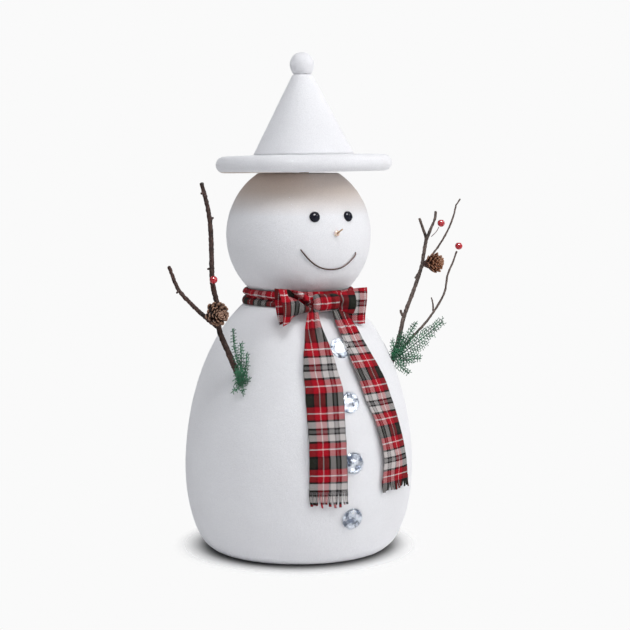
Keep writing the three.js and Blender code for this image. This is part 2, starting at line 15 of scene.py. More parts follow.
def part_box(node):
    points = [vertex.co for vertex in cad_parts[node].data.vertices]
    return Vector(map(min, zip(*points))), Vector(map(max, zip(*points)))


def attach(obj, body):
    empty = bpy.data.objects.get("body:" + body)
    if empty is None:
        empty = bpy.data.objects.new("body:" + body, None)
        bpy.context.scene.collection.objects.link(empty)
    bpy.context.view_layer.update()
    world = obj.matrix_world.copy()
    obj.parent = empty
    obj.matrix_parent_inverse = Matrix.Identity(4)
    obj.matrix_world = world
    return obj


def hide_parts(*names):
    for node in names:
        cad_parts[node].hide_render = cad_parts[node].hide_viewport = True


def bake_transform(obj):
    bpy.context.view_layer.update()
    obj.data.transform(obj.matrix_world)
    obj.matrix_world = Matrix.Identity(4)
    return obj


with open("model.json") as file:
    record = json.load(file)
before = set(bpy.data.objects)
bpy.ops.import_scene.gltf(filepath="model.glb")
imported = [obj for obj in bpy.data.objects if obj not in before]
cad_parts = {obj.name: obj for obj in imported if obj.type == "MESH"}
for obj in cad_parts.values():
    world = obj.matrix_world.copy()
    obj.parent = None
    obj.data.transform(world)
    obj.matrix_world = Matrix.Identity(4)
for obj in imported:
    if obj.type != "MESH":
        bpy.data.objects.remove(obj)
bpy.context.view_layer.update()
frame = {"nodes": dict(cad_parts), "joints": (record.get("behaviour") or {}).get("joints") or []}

MM = 0.001
UP = Vector((0, 0, 1))

# ---------- driving values (millimetres, degrees)

CURVE_STEPS = 24  # short straight steps in each span of a curve

CAD_SIDES = {"body_foam": 32, "head_foam": 32, "hat_brim": 32, "hat_cone": 32, "hat_ball": 16}
RIM_SHARE = 0.93  # points this far out, as a share of their ring's radius, are on its rim
WHOLE_RING = 0.7  # a ring with fewer of its sides on the rim is left out

FOAM_SIDES = 176
FOAM_STEP = 2.6  # distance between the rings of a foam piece
FOAM_CORNER = 1.6
FOAM_ROUGHNESS = 0.16
SHARP_BEND = 38  # an outline that turns more than this gets a rounded corner
BORE_PLAY = 0.45
BORE_OVERRUN = 20
ARM_BORES = {"right": 3.1, "left": 2.4}  # radius of each arm's stem in the foam
ARM_BORE_DEPTH = 35
HAT_BORE = 5
HAT_BORE_DEPTH = 49
# heights between which a painted warm grey shade comes in on the head under the brim, and goes again
BRIM_SHADE_FROM = (338, 362)
BRIM_SHADE_TO = (381.2, 380.8)

CLOTH = 0.8  # thickness
SETT = 64  # one repeat of the tartan
WHITE_GROUP = 52.5  # place of the white group's middle in the sett
WARP_SCALE = 0.8  # the stripes along the scarf are narrower than those across it
THREAD = 0.5  # width of the visible yarns

TAIL_STATIONS = {  # [height, azimuth of the middle line, width]
    "right": [[246, -17, 4], [240, -17, 10.4], [228, -16.9, 16.7], [216, -16.6, 22.5], [204, -16.2, 28.9],
              [190, -15.8, 33.4], [172, -14.6, 36.5], [108, -14.3, 36.5], [81, -14.3, 36.8],
              [63, -14.3, 37.5]],
    "left": [[246, 5, 16], [228, 10, 24], [216, 10.8, 25.4], [199, 12.6, 30], [181, 15.4, 33.4],
             [159, 18, 33.8], [142, 21.2, 34.2], [122, 23.4, 36], [102, 24.4, 36], [70.5, 24.4, 41]],
}
# Fringe height, cloth coordinate of the viewer's left edge, direction of the warp stripes, height of a
# white weft group's middle, repeats of the sett, stand-off from the foam at the right and left edges, place
# of the sway in the noise, and seed of the fringe.
TAIL_LOOK = {
    "right": {"fringe": 14, "warp": 16.5, "mirror": 1, "white": 77.2, "repeat": 1.108, "lift": (3.2, 6.2),
              "sway": 5, "seed": 11},
    "left": {"fringe": 12, "warp": 63.5, "mirror": -1, "white": 101.7, "repeat": 1.16, "lift": (4.4, 5.2),
             "sway": 4, "seed": 23},
}

FRINGE_WIDTH = (2.0, 4.6)  # least and most of each tassel's measures
FRINGE_LONGER = (-3, 0.6)
FRINGE_DRIFT = (-1.6, 1.6)
FRINGE_CURL = (-0.6, 2.2)
FRINGE_GAP = (0.15, 0.55)

TAIL_COLUMNS = 44
TAIL_ROWS = 180
BAND_COLUMNS = 220
BAND_ROWS = 30
WING_COLUMNS = 56
WING_ROWS = 36

FOIL_FACETS = 8
FOIL_RINGS = [(4.6, 0.2), (7.6, 1.0), (9.6, 0.1)]  # [radius, height] of the foil's folds
FOIL_SEAT = 2.2  # below the middle of the button

CONE_SCALES = 58
GOLDEN_ANGLE = 137.508  # between one scale and the next
FROND_SPACING = 1.7
FROND_STEPS = 39
FROND_FACING = UP  # the flat side of a frond, in the frame of its arm

SHADE_CENTRE = Vector((-3.5, -6.5, 0))  # middle of the contact shade on the floor
SHADE_SPAN = (85, 124)  # distances over which the shade ends
FADE_SPAN = (90, 132)  # distances over which the floor turns into the backdrop
AMBIENT = 0.45
LIGHTS = [  # name, place, aim, size, watts and colour
    ("key", (1000, -1400, 1350), (0, 0, 250), 800, 14, (1.0, 0.985, 0.96)),
    ("top", (-260, -900, 1700), (0, 0, 300), 560, 9.5, (0.97, 0.98, 1)),
    ("rim", (1300, 300, 700), (0, 0, 200), 600, 3, (1, 1, 1)),
]
CATCH_LIGHT = ("catch", (-260, -760, 1560), (0, 0, 340), 700, 60, (1, 1, 1))

CAMERA_PLACE = (-701.6, -1321, 389)
CAMERA_LENS = 84.12  # focal length
CAMERA_TILT = 5.86
CAMERA_YAW = 0.64

# ---------- reading the frame


def joint(name):
    """A joint's turning point in millimetres and its axis."""
    found = next(entry for entry in frame["joints"] if entry["name"] == name)
    return Vector(found["pos_m"]) / MM, Vector(found["axis"])


def middle(node):
    low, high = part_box(node)
    return (low + high) / 2 / MM


def outline_of(node, origin=Vector(), axis=UP):
    """[radius, height] of each whole ring of a turned CAD node, from its lowest ring to its highest."""
    rings = {}
    for vertex in frame["nodes"][node].data.vertices:
        offset = vertex.co / MM - origin
        height = offset.dot(axis)
        radius = (offset - height * axis).length
        half_millimetres = round(height * 2)
        spot = tuple(round(value, 1) for value in vertex.co / MM)
        rings.setdefault(half_millimetres, {})[spot] = (radius, height)
    outline = []
    for _, ring in sorted(rings.items()):
        radius = max(value[0] for value in ring.values())
        rim = [value for value in ring.values() if value[0] > RIM_SHARE * radius]
        if len(rim) >= WHOLE_RING * CAD_SIDES[node]:
            outline.append((radius, sum(value[1] for value in rim) / len(rim)))
    return outline


def radius_at(outline, height):
    """Radius of an outline at a height, between its rings."""
    for (radius_a, height_a), (radius_b, height_b) in zip(outline, outline[1:]):
        if height_a <= height <= height_b and height_b > height_a:
            return radius_a + (radius_b - radius_a) * (height - height_a) / (height_b - height_a)
    return outline[0][0] if height < outline[0][1] else outline[-1][0]


# ---------- curves and meshes


def lerp(a, b, share):
    return a + (b - a) * share


def smoothstep(low, high, value):
    share = min(1, max(0, (value - low) / (high - low)))
    return share * share * (3 - 2 * share)


def through(points, count):
    """Evenly spaced points of a smooth curve through points of any dimension."""
    knots = [Vector(point) for point in points]
    knots = [2 * knots[0] - knots[1]] + knots + [2 * knots[-1] - knots[-2]]
    fine = []
    for before, start, end, after in zip(knots, knots[1:], knots[2:], knots[3:]):
        # the roots of the distances keep a long span from swinging past its short neighbour
        lead, span, trail = (max(sqrt((b - a).length), 0.001)
                             for a, b in ((before, start), (start, end), (end, after)))
        leave = span * ((start - before) / lead - (end - before) / (lead + span)) + (end - start)
        arrive = span * ((after - end) / trail - (after - start) / (span + trail)) + (end - start)
        for step in range(CURVE_STEPS):
            t = step / CURVE_STEPS
            fine.append((2 * t ** 3 - 3 * t ** 2 + 1) * start + (t ** 3 - 2 * t ** 2 + t) * leave
                        + (3 * t ** 2 - 2 * t ** 3) * end + (t ** 3 - t ** 2) * arrive)
    fine.append(knots[-2])
    lengths = [0]
    for a, b in zip(fine, fine[1:]):
        lengths.append(lengths[-1] + (b - a).length)
    curve = []
    place = 0
    for index in range(count):
        wanted = lengths[-1] * index / (count - 1)
        while place < len(fine) - 2 and lengths[place + 1] < wanted:
            place += 1
        span = lengths[place + 1] - lengths[place]
        curve.append(fine[place].lerp(fine[place + 1], (wanted - lengths[place]) / span if span else 0))
    return curve


def between(table, value):
    """Row of numbers at a value, from rows whose first number falls from row to row."""
    for upper, lower in zip(table, table[1:]):
        if value >= lower[0]:
            share = min(1, max(0, (upper[0] - value) / (upper[0] - lower[0])))
            return [lerp(a, b, share) for a, b in zip(upper[1:], lower[1:])]
    return table[-1][1:]


def mesh_object(name, points, faces, cloth=None, smooth=True):
    """A mesh from points in millimetres. cloth holds one (u, v) in millimetres per point."""
    mesh = bpy.data.meshes.new(name)
    mesh.from_pydata([Vector(point) * MM for point in points], [], faces)
    if cloth:
        layer = mesh.uv_layers.new(name="cloth")
        for loop in mesh.loops:
            layer.data[loop.index].uv = cloth[loop.vertex_index]
    mesh.polygons.foreach_set("use_smooth", [smooth] * len(mesh.polygons))
    mesh.update()
    obj = bpy.data.objects.new(name, mesh)
    bpy.context.scene.collection.objects.link(obj)
    return obj


def modify(obj, kind, **settings):
    modifier = obj.modifiers.new(kind.lower(), kind)
    for key, value in settings.items():
        setattr(modifier, key, value)
    return modifier


def apply_modifiers(obj):
    graph = bpy.context.evaluated_depsgraph_get()
    mesh = bpy.data.meshes.new_from_object(
        obj.evaluated_get(graph), preserve_all_data_layers=True, depsgraph=graph)
    obj.modifiers.clear()
    obj.data = mesh


def finish(obj, material, body, slot, *stands_for):
    """Gives a piece its material and its body, and hides the CAD nodes it stands for. The slot is not used.
    """
    obj.data.materials.clear()
    obj.data.materials.append(material)
    if body:
        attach(obj, body)
    if stands_for:
        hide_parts(*stands_for)


class Patches:
    """Grid patches that are gathered into one mesh."""

    def __init__(self):
        self.points = []
        self.faces = []
        self.cloth = []

    def patch(self, surface, columns, rows):
        """surface(across, along), both from 0 to 1, returns a point and its place on the cloth."""
        first = len(self.points)
        for row in range(rows + 1):
            for column in range(columns + 1):
                point, place = surface(column / columns, row / rows)
                self.points.append(point)
                self.cloth.append(place)
        width = columns + 1
        for row in range(rows):
            for column in range(columns):
                corner = first + row * width + column
                self.faces.append((corner, corner + 1, corner + width + 1, corner + width))

    def piece(self, name, thickness=0, subdivide=0):
        obj = mesh_object(name, self.points, self.faces, self.cloth)
        if thickness:
            modify(obj, "SOLIDIFY", thickness=thickness * MM, offset=0)
        if subdivide:
            modify(obj, "SUBSURF", levels=subdivide, render_levels=subdivide)
        apply_modifiers(obj)
        return obj


def weld(obj):
    """Joins the two meeting edges of a closed patch."""
    modify(obj, "WELD", merge_threshold=0.02 * MM)
    apply_modifiers(obj)


def frame_along(direction):
    """Rotation that turns +Z into a direction."""
    return direction.to_track_quat("Z", "Y").to_matrix().to_4x4()


def spoke(side, sides):
    """Direction of one of the sides round +Z."""
    angle = 2 * pi * side / sides
    return Vector((cos(angle), sin(angle), 0))


def tube_faces(rings, sides):
    """Side faces and both ends of a tube whose points run ring by ring."""
    faces = []
    for ring in range(rings - 1):
        for side in range(sides):
            after = (side + 1) % sides
            faces.append((ring * sides + side, ring * sides + after,
                          (ring + 1) * sides + after, (ring + 1) * sides + side))
    faces.append(tuple(reversed(range(sides))))
    last = (rings - 1) * sides
    faces.append(tuple(range(last, last + sides)))
    return faces


def tube(name, centres, radii, sides):
    """A closed tube through centres."""
    points = []
    for index, (centre, radius) in enumerate(zip(centres, radii)):
        ahead = centres[min(index + 1, len(centres) - 1)]
        behind = centres[max(index - 1, 0)]
        turn = frame_along((ahead - behind).normalized())
        for side in range(sides):
            points.append(centre + turn @ spoke(side, sides) * radius)
    return mesh_object(name, points, tube_faces(len(centres), sides))


# ---------- materials


class Nodes:
    """Short calls for the node tree of a material or a world."""

    def __init__(self, owner):
        self.owner = owner
        owner.use_nodes = True
        self.tree = owner.node_tree
        self.tree.nodes.clear()

    def add(self, kind, inputs=None, **settings):
        node = self.tree.nodes.new("ShaderNode" + kind)
        for key, value in settings.items():
            setattr(node, key, value)
        for key, value in (inputs or {}).items():
            self.feed(node.inputs[key], value)
        return node

    def feed(self, socket, value):
        if isinstance(value, bpy.types.NodeSocket):
            self.tree.links.new(value, socket)
        elif socket.type == "RGBA":
            socket.default_value = (*value, 1)
        else:
            socket.default_value = value

    def place(self, stretch=(1, 1, 1)):
        """Place on the object at rest, in metres, shrunk along each axis by stretch."""
        coordinates = self.add("TexCoord").outputs["Object"]
        return self.add("Mapping", {"Vector": coordinates, "Scale": stretch}).outputs["Vector"]

    def grain(self, size, detail=3, place=None, rough=0.55):
        """Noise from 0 to 1 with features of a size in millimetres."""
        scale = 1 / (size * MM)
        inputs = {"Vector": place or self.place(), "Scale": scale, "Detail": detail, "Roughness": rough}
        return self.add("TexNoise", inputs).outputs["Fac"]

    def ramp(self, share, stops, interpolation="LINEAR"):
        """Colours at places from 0 to 1; a stop is (place, (r, g, b))."""
        node = self.add("ValToRGB", {"Fac": share})
        node.color_ramp.interpolation = interpolation
        elements = node.color_ramp.elements
        while len(elements) < len(stops):
            elements.new(1)
        for element, (position, colour) in zip(elements, stops):
            element.position = position
            element.color = (*colour, 1)
        return node.outputs["Color"]

    def maths(self, operation, a, b=0.0):
        return self.add("Math", {0: a, 1: b}, operation=operation).outputs[0]

    def above(self, value, low, high):
        """0 below low and 1 above high."""
        inputs = {"Value": value, "From Min": low, "From Max": high}
        return self.add("MapRange", inputs).outputs["Result"]

    def mix(self, share, a, b, blend="MIX"):
        """Colour between a and b; 6, 7 and 2 are the colour sockets of a Mix node."""
        node = self.add("Mix", data_type="RGBA", blend_type=blend)
        self.feed(node.inputs[0], share)
        self.feed(node.inputs[6], a)
        self.feed(node.inputs[7], b)
        return node.outputs[2]

    def bump(self, height, depth, strength, under=None):
        """Normal of a bump; depth is in millimetres."""
        inputs = {"Height": height, "Distance": depth * MM, "Strength": strength}
        node = self.add("Bump", inputs)
        if under:
            self.feed(node.inputs["Normal"], under)
        return node.outputs["Normal"]

    def surface(self, **inputs):
        """The finished material; names of inputs are written with _ for a space."""
        named = {key.replace("_", " "): value for key, value in inputs.items()}
        shader = self.add("BsdfPrincipled", named)
        return self.show(shader.outputs[0])

    def show(self, shader, output="OutputMaterial"):
        self.feed(self.add(output).inputs["Surface"], shader)
        return self.owner


def material_nodes(name):
    return Nodes(bpy.data.materials.new(name))


def flock_material():
    """Short white fibres on foam, with faint glitter, a few caught specks of lint, and a painted warm shade
    on the head under the brim.
    """
    nodes = material_nodes("flocked_foam")
    shade = nodes.grain(38, 3)
    fibres = nodes.grain(0.55, 2, rough=0.7)
    colour = nodes.ramp(shade, [(0.3, (0.80, 0.795, 0.82)), (0.7, (0.86, 0.86, 0.885))])
    fuzz = nodes.ramp(fibres, [(0.3, (0.66, 0.66, 0.69)), (0.7, (0.97, 0.97, 0.99))])
    colour = nodes.mix(0.5, colour, fuzz)
    height = nodes.maths("DIVIDE", nodes.add("SeparateXYZ", {"Vector": nodes.place()}).outputs[2], MM)
    # painted shade: under the brim the head's colour is darkened and warmed, standing in for the brim's
    # shadow
    painted_brim_shade = nodes.maths("MULTIPLY", nodes.above(height, *BRIM_SHADE_FROM), nodes.above(height, *BRIM_SHADE_TO))
    colour = nodes.mix(painted_brim_shade, colour, (0.84, 0.73, 0.64), "MULTIPLY")

    specks = nodes.add("TexVoronoi", {"Vector": nodes.place(), "Scale": 1 / (13 * MM)})
    lottery = nodes.add("SeparateColor", {"Color": specks.outputs["Color"]}).outputs
    near = nodes.above(specks.outputs["Distance"], 0.045, 0.025)
    lint = nodes.maths("MULTIPLY", near, nodes.above(lottery[0], 0.93, 0.94))
    lint_colour = nodes.ramp(lottery[1], [(0.5, (0.05, 0.04, 0.04)), (0.52, (0.35, 0.03, 0.05))], "CONSTANT")
    colour = nodes.mix(nodes.maths("MULTIPLY", lint, 0.75), colour, lint_colour)

    flakes = nodes.add("TexVoronoi", {"Vector": nodes.place(), "Scale": 1 / (1.6 * MM)})
    flake = nodes.add("SeparateColor", {"Color": flakes.outputs["Color"]}).outputs
    glitter = nodes.maths("MULTIPLY", nodes.above(flakes.outputs["Distance"], 0.26, 0.18),
                          nodes.above(flake[0], 0.975, 0.98))
    tufts = nodes.bump(nodes.grain(3.2, 3), 0.45, 0.6)
    normal = nodes.bump(nodes.grain(0.9, 3, rough=0.7), 0.4, 0.9, tufts)
    return nodes.surface(
        Base_Color=nodes.mix(glitter, colour, (0.95, 0.96, 1.0)), Roughness=nodes.above(glitter, 1.6, -0.05),
        Metallic=nodes.maths("MULTIPLY", glitter, 0.8), Sheen_Weight=0.25, Sheen_Roughness=0.6, Normal=normal,
        Specular_IOR_Level=0.2)


def wood_material():
    """Bare turned wood with long fibres along Z."""
    nodes = material_nodes("pale_wood")
    fibres = nodes.grain(0.9, 4, nodes.place((1, 1, 0.12)))
    colour = nodes.ramp(fibres, [(0.3, (0.40, 0.24, 0.12)), (0.65, (0.62, 0.42, 0.24))])
    return nodes.surface(
        Base_Color=colour, Roughness=nodes.above(fibres, -0.6, 1.4), Normal=nodes.bump(fibres, 0.12, 0.6))


def glue_material():
    nodes = material_nodes("amber_glue")
    cloud = nodes.grain(1.6, 3)
    colour = nodes.ramp(cloud, [(0.3, (0.66, 0.42, 0.30)), (0.7, (0.92, 0.82, 0.72))])
    return nodes.surface(
        Base_Color=colour, Roughness=0.22, Subsurface_Weight=0.35, Subsurface_Radius=(1.5 * MM, MM, 0.5 * MM),
        Subsurface_Scale=1.0, Normal=nodes.bump(cloud, 0.2, 0.5))


def bead_material():
    """Polished black bead with a faint swirl and dust."""
    nodes = material_nodes("black_bead")
    dust = nodes.grain(0.7, 4)
    colour = nodes.ramp(nodes.grain(4, 2), [(0.3, (0.004, 0.005, 0.012)), (0.7, (0.012, 0.013, 0.024))])
    return nodes.surface(
        Base_Color=colour, Roughness=nodes.above(dust, -0.1, 3.5), Specular_IOR_Level=0.2)


def wire_material():
    nodes = material_nodes("brown_wire")
    wear = nodes.grain(1.8, 4)
    colour = nodes.ramp(wear, [(0.35, (0.030, 0.012, 0.010)), (0.7, (0.085, 0.036, 0.026))])
    return nodes.surface(
        Base_Color=colour, Metallic=0.25, Roughness=nodes.above(wear, -0.5, 1.6),
        Normal=nodes.bump(wear, 0.1, 0.5))


def bark_material(name, pale, mid, dark):
    """Bark with long ridges, small pores and grey lichen dust."""
    nodes = material_nodes(name)
    ridges = nodes.grain(1.1, 5, nodes.place((1, 1, 0.22)), rough=0.65)
    patches = nodes.grain(9, 3)
    colour = nodes.ramp(ridges, [(0.3, dark), (0.52, mid), (0.75, pale)])
    colour = nodes.mix(nodes.above(patches, 0.45, 0.75), colour, mid, "MULTIPLY")
    lichen = nodes.above(nodes.grain(2.4, 4), 0.62, 0.72)
    colour = nodes.mix(nodes.maths("MULTIPLY", lichen, 0.35), colour, (0.30, 0.27, 0.25))
    normal = nodes.bump(ridges, 0.6, 0.8, nodes.bump(patches, 1.0, 0.4))
    return nodes.surface(Base_Color=colour, Roughness=0.82, Normal=normal, Specular_IOR_Level=0.3)


def scale_material(name, core, mid, lip):
    """Cone scales: the cloth coordinate's first number runs from a scale's root to its lip."""
    nodes = material_nodes(name)
    along = nodes.add("SeparateXYZ", {"Vector": nodes.add("UVMap", uv_map="cloth").outputs[0]}).outputs[0]
    streaks = nodes.grain(0.7, 4)
    uneven = nodes.maths("ADD", along, nodes.maths("MULTIPLY", nodes.maths("SUBTRACT", streaks, 0.5), 0.3))
    # the colour at a scale's root is partly the cone's own darker inner colour and partly painted shade deep
    # between the scales
    colour = nodes.ramp(uneven, [(0.15, core), (0.8, mid), (0.92, lip), (1, lip)])
    shade = nodes.ramp(streaks, [(0.3, (0.4, 0.4, 0.4)), (0.7, (1, 1, 1))])
    colour = nodes.mix(0.5, colour, shade, "MULTIPLY")
    return nodes.surface(Base_Color=colour, Roughness=0.62, Normal=nodes.bump(streaks, 0.3, 0.6))


def berry_material():
    nodes = material_nodes("berry_red")
    cloud = nodes.grain(3, 3)
    colour = nodes.ramp(cloud, [(0.3, (0.38, 0.001, 0.010)), (0.7, (0.56, 0.003, 0.018))])
    return nodes.surface(
        Base_Color=colour, Roughness=nodes.above(nodes.grain(0.8), -0.4, 3.5), Coat_Weight=0.5,
        Coat_Roughness=0.1, Normal=nodes.bump(cloud, 0.15, 0.4))


def cedar_material():
    nodes = material_nodes("cedar_green")
    patches = nodes.grain(7, 3)
    ribs = nodes.grain(0.6, 2)
    colour = nodes.ramp(patches, [(0.3, (0.004, 0.050, 0.022)), (0.55, (0.010, 0.120, 0.048)),
                                  (0.75, (0.030, 0.23, 0.095))])
    return nodes.surface(
        Base_Color=colour, Roughness=nodes.above(ribs, -0.6, 1.6), Normal=nodes.bump(ribs, 0.2, 0.5))


RED = (0.56, 0.006, 0.026)
WHITE = (0.86, 0.80, 0.80)
CREAM = (0.74, 0.70, 0.69)
GREY = (0.26, 0.25, 0.25)
OLIVE = (0.034, 0.036, 0.026)
BLACK = (0.006, 0.005, 0.008)

# The tartan's stripes in order, as (relative width, colour). The list fills one sett and repeats.
STRIPES = [
    (5.8, RED), (1.2, WHITE), (5.8, RED), (2.2, BLACK), (9.4, OLIVE), (2.2, BLACK), (5.8, RED), (1.2, WHITE),
    (5.8, RED), (2.2, BLACK), (6.4, CREAM), (1.8, BLACK), (3, GREY), (1.8, BLACK), (6.4, CREAM), (2.2, BLACK),
]


def stripe_stops():
    total = sum(width for width, _ in STRIPES)
    stops = []
    start = 0
    for width, colour in STRIPES:
        stops.append((start / total, colour))
        start += width
    return stops


def tartan_material():
    """Flannel twill: the cloth coordinates, in millimetres, choose the colours of warp and weft."""
    nodes = material_nodes("tartan_cloth")
    cloth = nodes.add("UVMap", uv_map="cloth").outputs[0]

    def speckle(scale, detail, rough=0.5):
        inputs = {"Vector": cloth, "Scale": scale, "Detail": detail, "Roughness": rough}
        return nodes.add("TexNoise", inputs).outputs

    wander = speckle(0.22, 2)["Color"]
    centred = nodes.add("VectorMath", {0: wander, 1: (0.5, 0.5, 0.5)}, operation="SUBTRACT").outputs[0]
    drift = nodes.add("VectorMath", {0: centred, "Scale": 0.9}, operation="SCALE").outputs[0]
    spot = nodes.add("VectorMath", {0: cloth, 1: drift}, operation="ADD").outputs[0]
    across, along, _ = nodes.add("SeparateXYZ", {"Vector": spot}).outputs

    def stripes(distance, repeat):
        share = nodes.maths("FRACT", nodes.maths("DIVIDE", distance, repeat))
        return nodes.ramp(share, stripe_stops(), "CONSTANT")

    warp = stripes(across, SETT * WARP_SCALE)
    weft = stripes(along, SETT)
    column = nodes.maths("DIVIDE", across, THREAD)
    row = nodes.maths("DIVIDE", along, THREAD)
    step = nodes.maths("ADD", nodes.maths("FLOOR", column), nodes.maths("FLOOR", row))
    over = nodes.maths("LESS_THAN", nodes.maths("FRACT", nodes.maths("DIVIDE", step, 4)), 0.49)
    share = nodes.maths("ADD", 0.32, nodes.maths("MULTIPLY", over, 0.56))
    colour = nodes.mix(share, warp, weft)
    # crossing yarns darken each other
    colour = nodes.mix(0.32, colour, weft, "MULTIPLY")
    colour = nodes.mix(0.18, colour, warp, "MULTIPLY")

    fuzz = speckle(1.7, 3, 0.7)["Fac"]
    lint = nodes.above(speckle(1.1, 4)["Fac"], 0.62, 0.75)
    shade = nodes.ramp(fuzz, [(0.3, (0.4, 0.4, 0.4)), (0.62, (1, 1, 1))])
    colour = nodes.mix(0.6, colour, shade, "MULTIPLY")
    colour = nodes.mix(nodes.maths("MULTIPLY", lint, 0.16), colour, (0.75, 0.62, 0.64))

    ridge_a = nodes.maths("SINE", nodes.maths("MULTIPLY", column, 2 * pi))
    ridge_b = nodes.maths("SINE", nodes.maths("MULTIPLY", row, 2 * pi))
    relief = nodes.maths("ADD", nodes.maths("MULTIPLY", nodes.maths("ADD", ridge_a, ridge_b), 0.2), fuzz)
    return nodes.surface(
        Base_Color=colour, Roughness=0.92, Sheen_Weight=0.03, Sheen_Roughness=0.5, Specular_IOR_Level=0.08,
        Normal=nodes.bump(relief, 0.22, 0.6))


def crystal_material():
    """Clear moulded acrylic with a faint tint and fine scratches."""
    nodes = material_nodes("crystal")
    scratches = nodes.grain(0.9, 4)
    tint = nodes.ramp(nodes.grain(6, 2), [(0.3, (0.86, 0.92, 0.98)), (0.7, (0.99, 0.99, 1.0))])
    return nodes.surface(
        Base_Color=tint, Roughness=nodes.above(scratches, 0.4, 6.0), Transmission_Weight=1.0, IOR=1.49)


def foil_material():
    """Silvered back of a button, a little clouded."""
    nodes = material_nodes("button_foil")
    cloud = nodes.grain(5, 3)
    colour = nodes.ramp(cloud, [(0.38, (0.16, 0.19, 0.26)), (0.6, (0.88, 0.90, 0.94))])
    return nodes.surface(Base_Color=colour, Metallic=0.7, Roughness=nodes.above(cloud, -0.2, 2.2))


FLOCK = flock_material()
PALE_WOOD = wood_material()
AMBER_GLUE = glue_material()
BLACK_BEAD = bead_material()
BROWN_WIRE = wire_material()
TARTAN = tartan_material()
CRYSTAL = crystal_material()
FOIL = foil_material()
BARK_RIGHT = bark_material("bark_right", (0.16, 0.085, 0.065), (0.062, 0.028, 0.021), (0.016, 0.008, 0.008))
BARK_LEFT = bark_material("bark_left", (0.26, 0.20, 0.17), (0.125, 0.088, 0.075), (0.035, 0.024, 0.020))
# the first colour of each cone, near black, is partly painted shade deep between its scales
CONE_RIGHT = scale_material("cone_right", (0.006, 0.002, 0.002), (0.055, 0.018, 0.010), (0.40, 0.22, 0.14))
CONE_LEFT = scale_material("cone_left", (0.016, 0.004, 0.002), (0.20, 0.060, 0.020), (0.36, 0.15, 0.065))
BERRY = berry_material()
CEDAR = cedar_material()

# ---------- foam


def with_soft_corners(outline):
    """The outline with a short rounding at every sharp corner."""
    points = [Vector(point) for point in outline]
    soft = [points[0]]
    for before, corner, after in zip(points, points[1:], points[2:]):
        into = corner - before
        out = after - corner
        if into.angle(out) < radians(SHARP_BEND):
            soft.append(corner)
            continue
        reach = min(FOAM_CORNER, into.length / 2, out.length / 2)
        start = corner - into.normalized() * reach
        end = corner + out.normalized() * reach
        bend = (start + 2 * corner + end) / 4
        soft += [start - into.normalized() * reach / 2, start, bend, end, end + out.normalized() * reach / 2]
    soft.append(points[-1])
    return soft


def foam(name, outline, place=Matrix()):
    """A foam piece turned round its axis, with the slight unevenness of a flocked surface."""
    bottom = outline[0][1]
    closed = with_soft_corners([(0, bottom)] + outline + [(0, outline[-1][1])])
    length = sum((b - a).length for a, b in zip(closed, closed[1:]))
    profile = through(closed, int(length / FOAM_STEP))
    points = []
    for before, (radius, height), after in zip(profile, profile[1:], profile[2:]):
        ahead = after - before
        normal = Vector((ahead.y, -ahead.x)).normalized()
        for side in range(FOAM_SIDES):
            out = spoke(side, FOAM_SIDES)
            spot = out * radius + UP * height
            swell = noise.noise(spot / 11) + 0.6 * noise.noise(spot / 3.7)
            lift = normal * swell * FOAM_ROUGHNESS
            points.append(place @ (out * (radius + lift.x) + UP * max(height + lift.y, bottom)))
    return mesh_object(name, points, tube_faces(len(profile) - 2, FOAM_SIDES))


def bore(obj, mouth, axis, radius, depth):
    """Cuts a round hole into a piece; the axis points out of it."""
    ends = [mouth - axis * depth, mouth + axis * BORE_OVERRUN]
    drill = tube("drill", ends, [radius + BORE_PLAY] * 2, 32)
    modify(obj, "BOOLEAN", object=drill, operation="DIFFERENCE", solver="EXACT")
    apply_modifiers(obj)
    bpy.data.objects.remove(drill)


def hat_frame():
    """Origin of the hat's frame, its axis and the matrix that stands the hat on it."""
    origin, axis = joint("hat_turn")
    lean = UP.rotation_difference(axis).to_matrix().to_4x4()
    return origin, axis, Matrix.Translation(origin) @ lean


def build_foam():
    body = foam("body_foam_flocked", BODY)
    for side, radius in ARM_BORES.items():
        entry, axis = joint(f"arm_{side}_turn")
        bore(body, entry, axis, radius, ARM_BORE_DEPTH)
    finish(body, FLOCK, "figure", "flocked_foam", "body_foam")

    origin, axis, hat = hat_frame()
    head = foam("head_foam_flocked", HEAD)
    bore(head, origin, axis, HAT_BORE, HAT_BORE_DEPTH)
    finish(head, FLOCK, "figure", "flocked_foam", "head_foam")

    for part in ("hat_brim", "hat_cone", "hat_ball"):
        piece = foam(part + "_flocked", outline_of(part, origin, axis), hat)
        finish(piece, FLOCK, "hat", "flocked_foam", part)


BODY = outline_of("body_foam")
HEAD = outline_of("head_foam")


def around(azimuth, radius, height):
    """A point round the snowman's axis: 0 degrees is its front, 90 degrees its left side."""
    angle = radians(azimuth)
    return Vector((radius * sin(angle), -radius * cos(angle), height))


def on_body(azimuth, height, lift):
    slope = radius_at(BODY, height + 2) - radius_at(BODY, height - 2)
    normal = around(azimuth, 4, -slope).normalized()
    return around(azimuth, radius_at(BODY, height), height) + normal * lift


# ---------- face


def build_face():
    for node in ("eye_right", "eye_left"):
        dress(node, BLACK_BEAD, 3)
    dress("nose_glue", AMBER_GLUE, 2)
    dress("mouth_wire", BROWN_WIRE, 2)
    for node in ("nose_peg", "neck_dowel", "hat_dowel", "hat_ball_pin"):
        modify(dress(node, PALE_WOOD), "BEVEL", width=0.25 * MM, segments=2)


def dress(node, material, levels=0):
    """Gives a carried-over CAD node its material, joined corners and levels of smoothing."""
    obj = frame["nodes"][node]
    obj.data.materials.clear()
    obj.data.materials.append(material)
    modify(obj, "WELD", merge_threshold=0.01 * MM)
    if levels:
        modify(obj, "SUBSURF", levels=levels, render_levels=levels)
    return obj


# ---------- scarf


